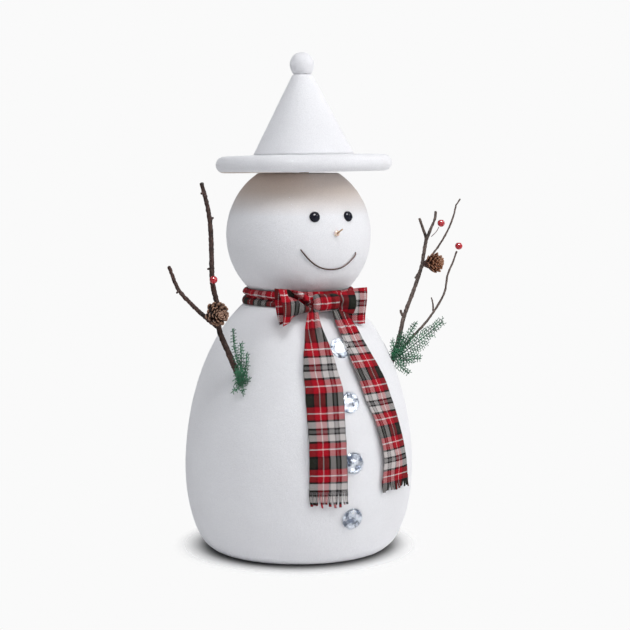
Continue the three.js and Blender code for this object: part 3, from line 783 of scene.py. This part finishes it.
def tail_surface(side):
    """Returns place(x, height): a point of the tail, x millimetres from its middle line."""
    stations = TAIL_STATIONS[side]
    look = TAIL_LOOK[side]
    top = stations[0][0]

    def place(x, height):
        azimuth, width = between(stations, height)
        radius = radius_at(BODY, height)
        share = x / width + 0.5
        gathered = smoothstep(196, 240, height)
        pleat = 1.1 * gathered * sin(2 * pi * (share * 2.6 + 0.2))
        wave = 0.9 * sin(height / 13 + x / 17) * (1 - gathered)
        roll = 0.5 * sin(height / 5.2 + 2.1 * share) * sin(pi * share)
        lift = lerp(*look["lift"], min(1, max(0, share))) + pleat + wave + roll
        near_hinge = smoothstep(228, top, height)
        lift = lerp(lift, 11, near_hinge)
        sway = 0.5 * noise.noise(Vector((height / 13, look["sway"], 0)))
        turn = azimuth + degrees((x + sway) / (radius + lift))
        u = look["warp"] + look["mirror"] * (x + stations[-1][2] / 2) / WARP_SCALE
        v = (height - look["white"]) * look["repeat"] + WHITE_GROUP
        return on_body(turn, height, lift), (u * WARP_SCALE, v)

    return place


def build_tail(side):
    node = f"scarf_tail_{side}"
    stations = TAIL_STATIONS[side]
    look = TAIL_LOOK[side]
    top = stations[0][0]
    hem = stations[-1][0] + look["fringe"]
    place = tail_surface(side)
    cloth = Patches()

    def strip(across, along):
        height = lerp(top, hem, along)
        width = between(stations, height)[1]
        return place((across - 0.5) * width, height)

    cloth.patch(strip, TAIL_COLUMNS, TAIL_ROWS)

    draw = random.Random(look["seed"])
    width = stations[-1][2]
    start = -width / 2
    while start < width / 2 - 0.8:
        span = min(draw.uniform(*FRINGE_WIDTH), width / 2 - start)
        length = look["fringe"] + draw.uniform(*FRINGE_LONGER)
        drift = draw.uniform(*FRINGE_DRIFT)
        curl = draw.uniform(*FRINGE_CURL)

        def tassel(across, along):
            height = hem - length * along
            narrow = 1 - 0.22 * along
            x = start + span * (0.5 + (across - 0.5) * narrow) + drift * along * along
            point, place_on_cloth = place(x, height)
            outward = (point - Vector((0, 0, height))).normalized()
            return point + outward * curl * along * along, place_on_cloth

        cloth.patch(tassel, 3, 9)
        start += span + draw.uniform(*FRINGE_GAP)
    tail = cloth.piece(node + "_cloth", CLOTH)
    finish(tail, TARTAN, None, "tartan_cloth", node)
    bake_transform(tail)


def build_neck_band():
    """A folded strip round the neck: two soft bulges with a crease between them."""
    low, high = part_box("scarf_neck_band")
    bottom = low.z / MM
    top = high.z / MM
    outer = (high.x - low.x) / 2 / MM
    gap = 0.9
    neck = 259

    def section(azimuth):
        """Corners of the strip: up over its two bulges, and down behind it in the neck."""
        crease = 256 + 1.3 * sin(azimuth * 1.7 + 0.6) + 0.8 * sin(azimuth * 4.3)
        lower = outer - 0.9 + 0.5 * sin(azimuth * 9) + 0.35 * sin(azimuth * 23 + 1)
        upper = outer - 1.5 + 0.5 * sin(azimuth * 7 + 2) + 0.35 * sin(azimuth * 19)
        valley = outer - 6.0 + 0.7 * sin(azimuth * 5)
        return [
            (radius_at(BODY, bottom) + gap, bottom + 0.4),
            (outer - 1.6, bottom - 0.2),
            (lower, bottom + 3.2),
            (lower - 0.8, crease - 2.2),
            (valley, crease),
            (upper - 0.8, crease + 2.0),
            (upper, top - 4.2),
            (upper - 2.4, top - 0.3),
            (radius_at(HEAD, top) + gap, top - 0.2),
            (radius_at(HEAD, neck) + 1.4, neck - 0.5),
            (radius_at(BODY, bottom + 4) + 1.2, bottom + 4),
        ]

    rings = []
    for column in range(BAND_COLUMNS + 1):
        corners = section(2 * pi * column / BAND_COLUMNS)
        rings.append(through(corners + [corners[0]], BAND_ROWS + 1))

    def strip(across, along):
        radius, height = rings[round(across * BAND_COLUMNS)][round(along * BAND_ROWS)]
        azimuth = 360 * across - 180
        return around(azimuth, radius, height), (radians(azimuth) * outer + 12, along * 46 + 17)

    cloth = Patches()
    cloth.patch(strip, BAND_COLUMNS, BAND_ROWS)
    band = cloth.piece("scarf_neck_band_cloth")
    weld(band)
    finish(band, TARTAN, "figure", "tartan_cloth", "scarf_neck_band")


def bow_matrix():
    """Frame of the bow: X runs along it to the left, Y points into the neck."""
    centre = middle("bow_knot")
    return Matrix.Translation(centre) @ Matrix.Rotation(atan2(centre.x, -centre.y), 4, "Z")


def bow_wing(name, top, bottom, depth, place_on_cloth, node):
    """A wing of the bow between its top and bottom edges; depth(out, up) is the distance to the front."""
    frame_of_bow = bow_matrix()
    top_curve = through([(x, z, 0) for x, z in top], WING_COLUMNS + 1)
    bottom_curve = through([(x, z, 0) for x, z in bottom], WING_COLUMNS + 1)
    cloth = Patches()

    def front(out, up):
        column = round(out * WING_COLUMNS)
        spot = bottom_curve[column].lerp(top_curve[column], up)
        point = Vector((spot.x, -depth(out, up), spot.y))
        return frame_of_bow @ point, place_on_cloth(spot.x, spot.y)

    cloth.patch(front, WING_COLUMNS, WING_ROWS)
    finish(cloth.piece(name, CLOTH), TARTAN, "figure", "tartan_cloth", node)


def right_wing_front(out, up):
    """Depth of the right wing's front: a raised rim, a deep valley behind it, and lobes at the knot."""
    rim = 6.5 * smoothstep(0.62, 0.86, out)
    valley_middle = lerp(0.42, 0.86, smoothstep(0.05, 0.75, out))
    inside = exp(-((up - valley_middle) / 0.13) ** 2)
    inside *= smoothstep(0.02, 0.3, out) * (1 - smoothstep(0.7, 0.82, out))
    lobe = 6 * (1 - ((up - 0.5) * 1.9) ** 2) * smoothstep(-0.15, 0.4, out)
    pleat = 1.2 * sin(up * 14) * (1 - smoothstep(0.1, 0.6, out))
    return lobe + rim + pleat - 16 * inside


def right_wing_back(_, up):
    return -2 - 3.5 * (1 - ((up - 0.5) * 2) ** 2)


def left_wing_front(out, up):
    lobe = 8 * (1 - ((up - 0.5) * 1.8) ** 2) * smoothstep(-0.2, 0.55, out)
    fold = -7 * smoothstep(0.86, 1.0, out)
    return lobe + fold + 1.4 * sin(up * 11 + 1) * (1 - smoothstep(0.2, 0.8, out))


def left_flap(out, up):
    return -0.5 - 3 * (1 - out) - 1.5 * sin(up * 5 + 1) - 3 * smoothstep(0.8, 1, out) * (1 - up)


def build_bow():
    top = [(-11, 5.5), (-17, 6), (-28, 11.8), (-40, 14), (-53, 15.3)]
    bottom = [(-11, -7), (-18, -7.9), (-33, -11.8), (-39, -16), (-48, -20.6)]
    bow_wing("bow_loop_right_front", top, bottom, right_wing_front,
             lambda x, z: (-x + 9, z + 24), "bow_loop_right")
    bow_wing("bow_loop_right_back", top, bottom, right_wing_back,
             lambda x, z: (-x + 30, z + 9), "bow_loop_right")

    top = [(11, 8), (17, 9.5), (24, 10.8), (32, 11)]
    bottom = [(11, -7), (17, -9), (24, -11), (32, -12)]
    bow_wing("bow_loop_left_front", top, bottom, left_wing_front,
             lambda x, z: (x - 11, z + 20), "bow_loop_left")
    top = [(20, 11), (28, 12.5), (37, 13.2), (45, 13.6)]
    bottom = [(24, -9), (29, -18), (36, -22.5), (45, -23)]
    bow_wing("bow_flap_left", top, bottom, left_flap,
             lambda x, z: (x + 14, z + 54), "bow_loop_left")


def build_knot():
    """The knot: a strip wrapped up and down round the bow, with pleats across its width."""
    low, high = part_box("bow_knot")
    half_width = (high.x - low.x) / 2 / MM + 1.2
    half_height = (high.z - low.z) / 2 / MM - 0.4
    half_depth = 9
    frame_of_bow = bow_matrix()

    def wrap(across, along):
        x = lerp(-half_width, half_width, across)
        edge = abs(across * 2 - 1)
        squeeze = sqrt(max(0.0, 1 - edge ** 5))
        pleat = 1.3 * sin(across * 17 + 0.6) + 0.6 * sin(across * 37)
        angle = 2 * pi * along
        front = max(0, -sin(angle))
        depth = (half_depth + pleat * front) * squeeze
        height = (half_height + 0.3 * sin(across * 9)) * (0.45 + 0.55 * squeeze)
        slant = 1.5 * (across - 0.5) * front
        point = Vector((x, depth * sin(angle), height * cos(angle) + slant))
        return frame_of_bow @ point, (x + 58.5, along * 54 + 30)

    cloth = Patches()
    cloth.patch(wrap, 60, 48)
    knot = cloth.piece("bow_knot_cloth")
    weld(knot)
    finish(knot, TARTAN, "figure", "tartan_cloth", "bow_knot")


def build_scarf():
    build_neck_band()
    build_bow()
    build_knot()
    build_tail("right")
    build_tail("left")


# ---------- buttons


def build_buttons():
    for index in range(1, 5):
        node = f"button_{index}"
        dress(node, CRYSTAL)
        centre = middle(node)
        slope = radius_at(BODY, centre.z + 2) - radius_at(BODY, centre.z - 2)
        normal = around(degrees(atan2(centre.x, -centre.y)), 4, -slope).normalized()
        build_foil(index, centre - normal * FOIL_SEAT, normal)


def build_foil(index, centre, normal):
    """A thin pressed star of foil under a button's crystal."""
    turn = Matrix.Translation(centre) @ frame_along(normal)
    draw = random.Random(40 + index)
    points = [Vector((0, 0, 0.9))]
    for ring, (radius, height) in enumerate(FOIL_RINGS):
        for side in range(FOIL_FACETS):
            rise = height + draw.uniform(-0.3, 0.3)
            points.append(spoke(side + ring / 2, FOIL_FACETS) * radius + UP * rise)
    faces = [(0, 1 + side, 1 + (side + 1) % FOIL_FACETS) for side in range(FOIL_FACETS)]
    for ring in range(2):
        for side in range(FOIL_FACETS):
            inner = 1 + ring * FOIL_FACETS
            outer = inner + FOIL_FACETS
            after = (side + 1) % FOIL_FACETS
            faces.append((inner + side, outer + side, outer + after))
            faces.append((inner + side, outer + after, inner + after))
    foil = mesh_object(f"button_foil_{index}", [turn @ point for point in points], faces, smooth=False)
    modify(foil, "SOLIDIFY", thickness=0.15 * MM, offset=-1)
    apply_modifiers(foil)
    finish(foil, FOIL, "figure", "crystal")


# ---------- arms


def arm_matrix(side):
    """Frame of an arm: points are (outwards, up, forwards) from where the twig enters the foam."""
    entry, _ = joint(f"arm_{side}_turn")
    out = -1 if side == "right" else 1
    return Matrix.Translation(entry) @ Matrix(((out, 0, 0, 0), (0, 0, -1, 0), (0, 1, 0, 0), (0, 0, 0, 1)))


def build_twigs():
    ridges = bpy.data.textures.new("bark_ridges", "CLOUDS")
    ridges.noise_scale = 3.2 * MM
    ridges.noise_depth = 2
    for node, material, voxel, strength in (
        ("twig_right", BARK_RIGHT, 0.42, 1.3), ("twig_left", BARK_LEFT, 0.42, 1.1),
        ("twig_left_tall", BARK_LEFT, 0.28, 0.7), ("twig_left_low", BARK_LEFT, 0.28, 0.7),
    ):
        obj = dress(node, material)
        modify(obj, "REMESH", mode="VOXEL", voxel_size=voxel * MM, use_smooth_shade=True)
        modify(obj, "SMOOTH", factor=0.5, iterations=3)
        modify(obj, "DISPLACE", texture=ridges, strength=strength * MM, mid_level=0.3)
    dress("berry_left_wire", BROWN_WIRE, 2)


def build_berry(node, body):
    """A waxed berry with a shallow dimple on top."""
    low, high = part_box(node)
    centre = (low + high) / 2 / MM
    radius = (high.z - low.z) / 2 / MM

    def skin(across, along):
        polar = pi * (1 - along)
        dimple = 0.9 * exp(-(polar / 0.3) ** 2)
        direction = spoke(across, 1) * sin(polar) + UP * cos(polar)
        bump = 0.12 * noise.noise(direction * 2.3 + centre)
        return centre + direction * (radius - dimple + bump), (across, along)

    cloth = Patches()
    cloth.patch(skin, 32, 22)
    berry = cloth.piece(node + "_waxed")
    weld(berry)
    finish(berry, BERRY, body, "berry_red", node)


def build_cone(side, axis, radius, length, material, seed, flare):
    """A pine cone: scales on a spiral, wide open at the foot and closed at the tip."""
    node = f"pinecone_{side}"
    body = f"arm_{side}"
    turn = Matrix.Translation(middle(node) - axis * length / 2) @ frame_along(axis)
    draw = random.Random(seed)
    cloth = Patches()
    for index in range(CONE_SCALES):
        share = (index + 0.5) / CONE_SCALES
        angle = radians(GOLDEN_ANGLE) * index
        lean = radians(lerp(flare, 8, share ** 1.1))
        reach = radius * lerp(1.02, 0.30, share ** 1.6) * draw.uniform(0.93, 1.05)
        root = length * lerp(0.10, 0.80, share ** 0.9)
        width = lerp(3.3, 1.6, share) * draw.uniform(0.9, 1.1)
        twist = draw.uniform(-0.12, 0.12)

        def scale(across, along):
            spread = sin(pi * min(0.92, 0.12 + 0.7 * along)) ** 0.8
            aside = (across * 2 - 1) * width * spread * (1 - 0.5 * smoothstep(0.85, 1, along))
            cup = 0.16 * aside * aside / width
            lip = 1.25 * smoothstep(0.62, 1, along)
            out = reach * along
            rise = out * sin(lean) * 0.2
            height = root + out * cos(lean) + lip - cup + rise
            point = Vector((out * sin(lean) + 0.3, aside, height))
            return turn @ (Matrix.Rotation(angle + twist, 4, "Z") @ point), (along, across)

        cloth.patch(scale, 4, 7)
    cone = cloth.piece(node + "_scales", 0.9, 1)
    core_points = [turn @ Vector((0, 0, length * share)) for share in (0.02, 0.2, 0.5, 0.8)]
    core_radii = [radius * share for share in (0.25, 0.4, 0.35, 0.1)]
    core = tube(node + "_core", core_points, core_radii, 12)
    finish(cone, material, body, "cone_brown", node)
    finish(core, BARK_RIGHT, body, "cone_brown", node)


def leaflet(points, faces, start, end, width):
    """Adds one thin scale-leaf: a four-sided spindle between two points."""
    along = end - start
    turn = frame_along(along.normalized())
    first = len(points)
    points.append(start)
    for share, size in ((0.3, 1.0), (0.7, 0.8)):
        for side in range(4):
            out = spoke(side, 4) * width / 2 * size
            points.append(start + along * share + turn @ Vector((out.x, out.y * 0.6, 0)))
    points.append(end)
    last = len(points) - 1
    for side in range(4):
        after = (side + 1) % 4
        faces.append((first, first + 1 + after, first + 1 + side))
        faces.append((first + 1 + side, first + 1 + after, first + 5 + after, first + 5 + side))
        faces.append((first + 5 + side, first + 5 + after, last))


def grow_frond(points, faces, stem, width, draw):
    """A flat cedar frond along a stem: branchlets on both sides, each with short leaflets."""
    curve = through(stem, FROND_STEPS + 1)
    length = sum((b - a).length for a, b in zip(curve, curve[1:]))
    count = int(length / FROND_SPACING)
    for a, b in zip(curve, curve[1:]):
        leaflet(points, faces, a, b + (b - a) * 0.6, 1.3)
    for index in range(count):
        share = (index + 0.6) / count
        place = int(share * FROND_STEPS)
        base = curve[place]
        forward = (curve[place + 1] - base).normalized()
        sideways = forward.cross(FROND_FACING).normalized() * (1 if index % 2 else -1)
        reach = width * (1.0 - 0.72 * share) * draw.uniform(0.8, 1.1)
        heading = forward * 0.75 + sideways * draw.uniform(0.75, 1.0)
        heading += FROND_FACING * draw.uniform(-0.18, 0.18)
        heading.normalize()
        tip = base + heading * reach + forward * reach * 0.12
        leaflet(points, faces, base, tip, 0.85)
        leaves = max(2, int(reach / 1.6))
        for step in range(leaves):
            spot = base.lerp(tip, (step + 0.5) / leaves)
            outwards = heading.cross(FROND_FACING).normalized() * (1 if step % 2 else -1)
            branch = heading + outwards * draw.uniform(0.6, 1.0) + FROND_FACING * draw.uniform(-0.25, 0.25)
            size = (3.9 - 1.9 * step / leaves) * draw.uniform(0.75, 1.15)
            leaflet(points, faces, spot, spot + branch.normalized() * size, 0.95)


CEDAR_FRONDS = {  # each frond: stem points (outwards, up, forwards) from the twig's entry, and its width
    "right": [
        ([(4, -4, 5.5), (6, 20, 6), (9.5, 36, 6), (11, 52.4, 6)], 4.5),
        ([(4, -4, 6), (3, 18, 8), (3.5, 38.4, 8)], 6),
        ([(4, -4, 6), (-1, 12, 9), (-2.4, 28.3, 9)], 5),
        ([(4, -4, 5), (1, 8, 9), (6, 20, 8)], 6),
        ([(4, -2, 5), (8, -5, 9), (13, -7, 9)], 5),
        ([(4, 0, 5), (2, -6, 9), (3, -10, 10)], 5),
        ([(4, 0, 6), (0, 2, 9), (-5, 3, 9)], 5),
        ([(4, -2, 5), (8, 4, 8), (8, 14, 7)], 5),
    ],
    "left": [
        ([(-1, 2, 4), (18, 14, 6), (40, 27, 5), (58.9, 39, 4)], 18),
        ([(-1, 2, 5), (8, 16, 6), (25, 39, 5)], 10),
        ([(-1, 2, 5), (14, 2, 6), (31.3, 2.3, 5)], 10),
        ([(-1, 2, 5), (8, -6, 7), (17, -12.3, 6)], 8),
        ([(-1, 2, 6), (3, 16, 8), (5.7, 29.6, 7)], 8),
        ([(-1, 2, 6), (-3, 12, 8), (-3.8, 23, 7)], 7),
        ([(0, 6, 6), (5, 16, 9), (9, 26, 8)], 7),
    ],
}


def build_cedar(side, seed):
    draw = random.Random(seed)
    frame_of_arm = arm_matrix(side)
    points = []
    faces = []
    for stem, width in CEDAR_FRONDS[side]:
        grow_frond(points, faces, [Vector(point) for point in stem], width, draw)
    node = f"cedar_sprig_{side}"
    sprig = mesh_object(node + "_fronds", [frame_of_arm @ point for point in points], faces)
    finish(sprig, CEDAR, f"arm_{side}", "cedar_green", node)


def build_arms():
    build_twigs()
    build_berry("berry_right", "arm_right")
    build_berry("berry_left_upper", "arm_left")
    build_berry("berry_left_low", "arm_left")
    build_cone("right", Vector((-0.1, -1, 0.05)).normalized(), 12.2, 19, CONE_RIGHT, seed=3, flare=82)
    build_cone("left", Vector((0.4, -0.9, 0.15)).normalized(), 12.5, 21, CONE_LEFT, seed=5, flare=62)
    build_cedar("right", 7)
    build_cedar("left", 9)


# ---------- studio


def build_floor():
    """A pale floor that fades into the backdrop, with a contact shade that only the camera sees."""
    size = 2000
    corners = [(-size, -size, 0), (size, -size, 0), (size, size, 0), (-size, size, 0)]
    floor = mesh_object("floor", corners, [(0, 1, 2, 3)])
    nodes = material_nodes("floor_pale")
    spots = {0: nodes.add("TexCoord").outputs["Object"], 1: SHADE_CENTRE * MM}
    distance = nodes.add("VectorMath", spots, operation="DISTANCE").outputs["Value"]

    def eased(start, span):
        """A grey that rises from start to 1 over a span of distances."""
        low, high = span
        share = nodes.above(distance, low * MM, high * MM)
        return nodes.ramp(share, [(0, (start, start, start)), (1, (1, 1, 1))], "EASE")

    seen = nodes.add("LightPath").outputs["Is Camera Ray"]
    paper = nodes.ramp(nodes.grain(30, 2), [(0.3, (0.93, 0.93, 0.935)), (0.7, (0.95, 0.95, 0.95))])
    paper = nodes.mix(seen, paper, eased(0.06, SHADE_SPAN), "MULTIPLY")
    diffuse = nodes.add("BsdfDiffuse", {"Color": paper}).outputs[0]
    clear = nodes.add("BsdfTransparent").outputs[0]
    gone = nodes.maths("MULTIPLY", eased(0, FADE_SPAN), seen)
    blend = nodes.add("MixShader", {0: gone, 1: diffuse, 2: clear}).outputs[0]
    floor.data.materials.append(nodes.show(blend))


def build_world():
    """White backdrop for the camera, softer light for the object, and a studio to mirror."""
    world = bpy.data.worlds.new("studio")
    bpy.context.scene.world = world
    nodes = Nodes(world)
    path = nodes.add("LightPath").outputs
    backdrop = nodes.add("Background", {"Color": (0.956, 0.956, 0.956)}).outputs[0]
    ambient = nodes.add("Background", {"Color": (0.95, 0.97, 1.0), "Strength": AMBIENT}).outputs[0]
    direction = nodes.add("TexCoord").outputs["Generated"]
    rooms = nodes.add("TexVoronoi", {"Vector": direction, "Scale": 2.3}).outputs["Color"]
    panels = nodes.ramp(rooms, [(0.42, (0.02, 0.03, 0.06)), (0.66, (1, 1, 1))])
    mirrored = nodes.add("Background", {"Color": panels}).outputs[0]
    by_mirror = nodes.maths("MAXIMUM", path["Is Glossy Ray"], path["Is Transmission Ray"])
    light = nodes.add("MixShader", {0: by_mirror, 1: ambient, 2: mirrored}).outputs[0]
    final = nodes.add("MixShader", {0: path["Is Camera Ray"], 1: light, 2: backdrop}).outputs[0]
    nodes.show(final, "OutputWorld")


def build_light(name, place, aim, size, watts, colour):
    data = bpy.data.lights.new(name, "AREA")
    data.energy = watts
    data.size = size * MM
    data.color = colour
    light = bpy.data.objects.new(name, data)
    light.location = Vector(place) * MM
    light.rotation_euler = (Vector(place) - Vector(aim)).to_track_quat("Z", "Y").to_euler()
    bpy.context.scene.collection.objects.link(light)
    return light


def build_camera():
    place = Vector(CAMERA_PLACE)
    data = bpy.data.cameras.new("camera")
    data.lens = CAMERA_LENS
    data.sensor_width = 36
    camera = bpy.data.objects.new("camera", data)
    camera.location = place * MM
    heading = atan2(place.x, -place.y)
    camera.rotation_euler = (
        radians(90 - CAMERA_TILT), 0, heading - radians(CAMERA_YAW))
    bpy.context.scene.collection.objects.link(camera)
    bpy.context.scene.camera = camera


def build_studio():
    bpy.context.scene.view_settings.view_transform = "Standard"
    build_floor()
    build_world()
    for light in LIGHTS:
        build_light(*light)
    build_light(*CATCH_LIGHT).visible_diffuse = False  # only seen mirrored, in eyes, berries and buttons
    build_camera()


# ---------- the whole object

build_foam()
build_face()
build_scarf()
build_buttons()
build_arms()
build_studio()
